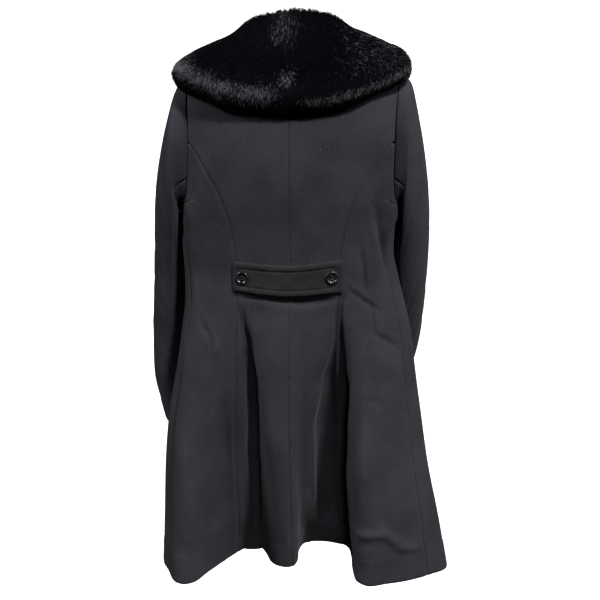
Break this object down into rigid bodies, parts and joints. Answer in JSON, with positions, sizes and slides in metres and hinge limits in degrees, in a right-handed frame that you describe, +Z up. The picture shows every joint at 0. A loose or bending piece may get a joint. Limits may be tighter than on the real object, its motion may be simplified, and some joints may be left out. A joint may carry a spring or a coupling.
{
  "type": "wool coat with fur collar",
  "caption": "Knee-length fitted wool coat, filled out as worn, with a large rounded fur collar, a flared folded skirt and a buttoned half belt on the back of the waist.",
  "frame": {"origin": "middle of the neck opening, level with the neck ends of the shoulder seams, where the shoulders that wear or hold the coat carry it", "axes": "+Z up, +Y out of the coat's back, +X to the wearer's left"},
  "size_m": [0.5759, 0.3364, 1.0299],
  "materials": {
    "wool": "matte brushed black wool with a short nap",
    "belt_wool": "matte black wool, stitched along its border",
    "fur": "soft black fur with frosted grey tips",
    "button": "glossy black with a raised rim"
  },
  "bodies": {
    "root": {"back_center_left": "wool", "back_center_right": "wool", "back_side_left": "wool", "back_side_right": "wool", "front_left": "wool", "front_right": "wool", "sleeve_top_left": "wool", "sleeve_under_left": "wool", "sleeve_top_right": "wool", "sleeve_under_right": "wool", "collar_left": "fur", "collar_right": "fur", "back_belt": "belt_wool", "back_button_left": "button", "back_button_right": "button", "front_button_1": "button", "front_button_2": "button", "front_button_3": "button", "front_button_4": "button"}
  },
  "joints": []
}
